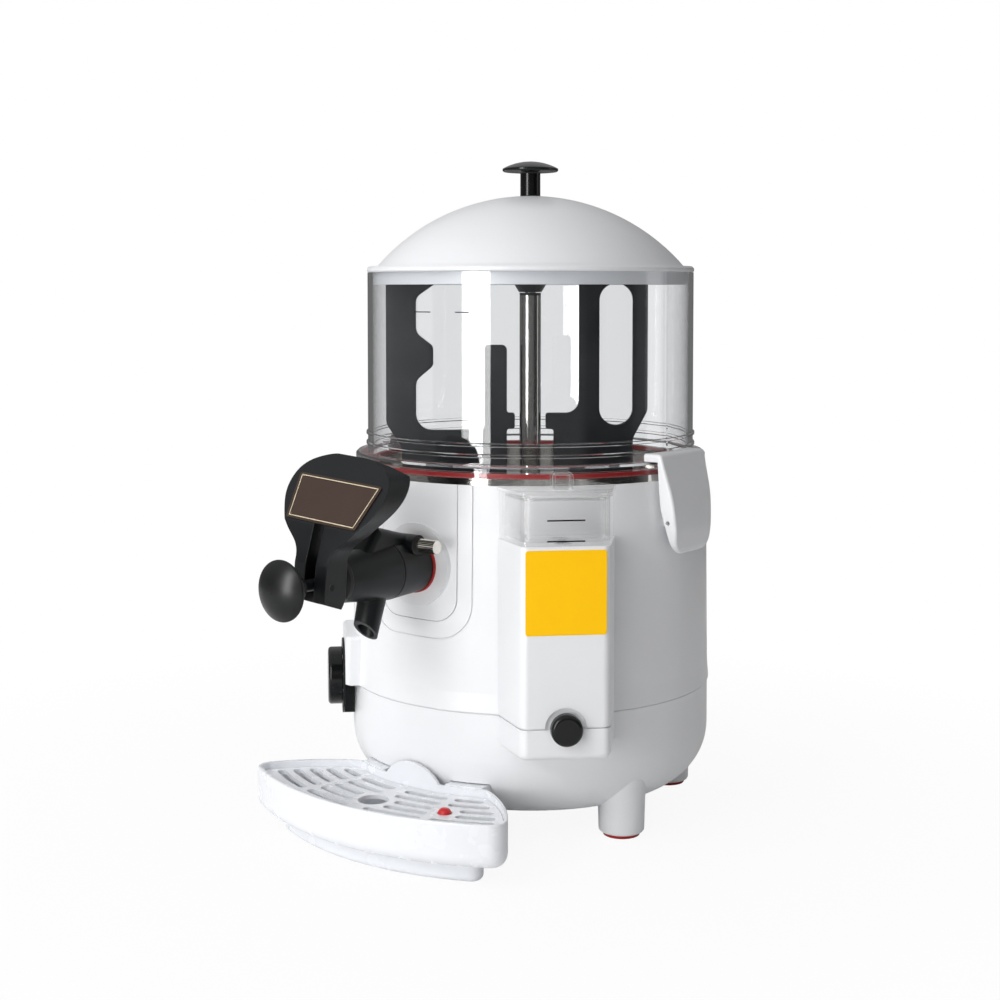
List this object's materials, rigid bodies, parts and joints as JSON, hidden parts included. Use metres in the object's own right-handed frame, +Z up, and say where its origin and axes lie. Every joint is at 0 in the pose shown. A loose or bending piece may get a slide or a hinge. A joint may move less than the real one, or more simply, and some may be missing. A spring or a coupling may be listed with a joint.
{
  "type": "hot chocolate dispenser",
  "caption": "Counter-top hot chocolate dispenser with a clear bowl, stirring paddle, lever tap, water gauge and drip tray",
  "frame": {"origin": "on the counter, under the middle of the bounding box", "axes": "+Z up, the tap towards -Y, the water gauge on the +X side"},
  "size_m": [0.2872, 0.4124, 0.4777],
  "materials": {
    "white_abs": "glossy moulded",
    "black_plastic": "satin moulded",
    "clear_polycarbonate": "clear moulded",
    "stainless_steel": "polished sheet",
    "drive_steel": "turned",
    "nickel": "knurled nickel plate",
    "red_silicone": "moulded silicone",
    "red_float": "moulded",
    "black_rubber": "moulded",
    "brown_plate": "printed plate",
    "yellow_vinyl": "plain label",
    "nylon": "moulded gear",
    "copper_winding": "wound core",
    "brass": "turned pipe",
    "zinc_screw": "zinc plated"
  },
  "bodies": {
    "machine": {"upper_housing": "white_abs", "lower_base": "white_abs", "bottom_cover": "white_abs", "foot_pads": "red_silicone", "case_screws": "zinc_screw", "front_insert": "white_abs", "water_tank": "stainless_steel", "tank_seal": "black_rubber", "inner_pot": "stainless_steel", "center_tube": "stainless_steel", "heating_element": "stainless_steel", "safety_cutout": "black_plastic", "bowl": "clear_polycarbonate", "bowl_gasket": "red_silicone", "shaft_bush": "nylon", "shaft_seal": "black_rubber", "gearbox_case": "black_plastic", "gearbox_cover": "black_plastic", "motor_can": "drive_steel", "motor_stator": "copper_winding", "tap_gasket": "red_silicone", "tap_collar": "black_plastic", "tap_body": "black_plastic", "tap_cap": "black_plastic", "tap_spring": "stainless_steel", "latch_pins": "drive_steel", "sight_box": "clear_polycarbonate", "gauge_pipe": "stainless_steel", "gauge_sticker": "yellow_vinyl", "drain_pipe": "brass", "dial_plate": "black_plastic", "thermostat_body": "black_plastic", "switch_frame": "black_plastic", "cord_gland": "black_plastic"},
    "lid": {"lid_dome": "white_abs", "lid_knob": "black_plastic", "lid_screw": "zinc_screw"},
    "stirrer": {"drive_shaft": "drive_steel", "drive_hub": "black_plastic", "paddle": "black_plastic", "output_gear": "nylon"},
    "rotor": {"motor_rotor": "drive_steel", "drive_pinion": "nylon"},
    "plunger": {"plunger_rod": "black_plastic", "plunger_seals": "black_rubber", "plunger_knob": "black_plastic"},
    "handle": {"tap_handle": "black_plastic", "handle_badge": "brown_plate", "handle_pin": "drive_steel"},
    "lock_pin": {"tap_lock_pin": "nickel"},
    "latch_right": {"right_latch": "white_abs"},
    "latch_left": {"left_latch": "white_abs"},
    "gauge_lid": {"sight_lid": "clear_polycarbonate"},
    "plug_seal": {"drain_seal": "black_rubber"},
    "plug": {"drain_plug": "black_plastic"},
    "dial": {"thermostat_knob": "black_plastic"},
    "rocker": {"power_rocker": "black_plastic"},
    "tray": {"drip_tray": "white_abs"},
    "grid": {"drip_grid": "white_abs"},
    "float": {"tray_float": "red_float"}
  },
  "joints": [
    {"name": "lid_lift", "type": "slide", "parent": "machine", "child": "lid", "axis": [0, 0, 1], "range_m": [0, 0.15]},
    {"name": "stir_spin", "type": "hinge", "parent": "machine", "child": "stirrer", "pos_m": [0, 0.06323, 0.126], "axis": [0, 0, 1], "continuous": true},
    {"name": "rotor_spin", "type": "hinge", "parent": "machine", "child": "rotor", "pos_m": [0, 0.09922, 0.126], "axis": [0, 0, 1], "continuous": true},
    {"name": "plunger_slide", "type": "slide", "parent": "machine", "child": "plunger", "axis": [0, -1, 0], "range_m": [0, 0.004], "stiffness_N_per_m": 300, "springref_m": -0.006, "deforming": ["tap_spring"]},
    {"name": "handle_tilt", "type": "hinge", "parent": "plunger", "child": "handle", "pos_m": [0, -0.16673, 0.193], "axis": [0.9976, 0, -0.0698], "range_deg": [0, 40]},
    {"name": "lock_pin_pull", "type": "slide", "parent": "machine", "child": "lock_pin", "axis": [1, 0, 0], "range_m": [0, 0.012]},
    {"name": "right_latch_swing", "type": "hinge", "parent": "machine", "child": "latch_right", "pos_m": [0.1374, 0.06323, 0.221], "axis": [0, 1, 0], "range_deg": [0, 14], "stiffness_Nm_per_rad": 0.3, "springref_deg": -20.05},
    {"name": "left_latch_swing", "type": "hinge", "parent": "machine", "child": "latch_left", "pos_m": [-0.1374, 0.06323, 0.221], "axis": [0, -1, 0], "range_deg": [0, 14], "stiffness_Nm_per_rad": 0.3, "springref_deg": -20.05},
    {"name": "sight_lid_lift", "type": "slide", "parent": "machine", "child": "gauge_lid", "axis": [0, 0, 1], "range_m": [0, 0.04]},
    {"name": "drain_plug_out", "type": "slide", "parent": "machine", "child": "plug_seal", "axis": [0.7071, -0.7071, 0], "range_m": [0, 0.006]},
    {"name": "drain_plug_turn", "type": "hinge", "parent": "plug_seal", "child": "plug", "pos_m": [0.11879, -0.05557, 0.0945], "axis": [0.7071, -0.7071, 0], "range_deg": [0, 1080]},
    {"name": "thermostat_turn", "type": "hinge", "parent": "machine", "child": "dial", "pos_m": [-0.09899, -0.03577, 0.095], "axis": [0.7071, 0.7071, 0], "range_deg": [0, 270]},
    {"name": "power_switch", "type": "hinge", "parent": "machine", "child": "rocker", "pos_m": [-0.07514, 0.17053, 0.074], "axis": [-0.8192, -0.5736, 0], "range_deg": [-8, 8]},
    {"name": "drip_tray_pull", "type": "slide", "parent": "machine", "child": "tray", "axis": [0, -1, 0], "range_m": [0, 0.12]},
    {"name": "drip_grid_lift", "type": "slide", "parent": "tray", "child": "grid", "axis": [0, 0, 1], "range_m": [0, 0.025]},
    {"name": "float_rise", "type": "slide", "parent": "tray", "child": "float", "axis": [0, 0, 1], "range_m": [0, 0.006]}
  ],
  "couplings": [
    {"joint": "rotor_spin", "follows": "stir_spin", "ratio": -5},
    {"joint": "plunger_slide", "follows": "handle_tilt", "m_per_rad": 0.0057296},
    {"joint": "drain_plug_out", "follows": "drain_plug_turn", "m_per_rad": 0.00031831}
  ]
}
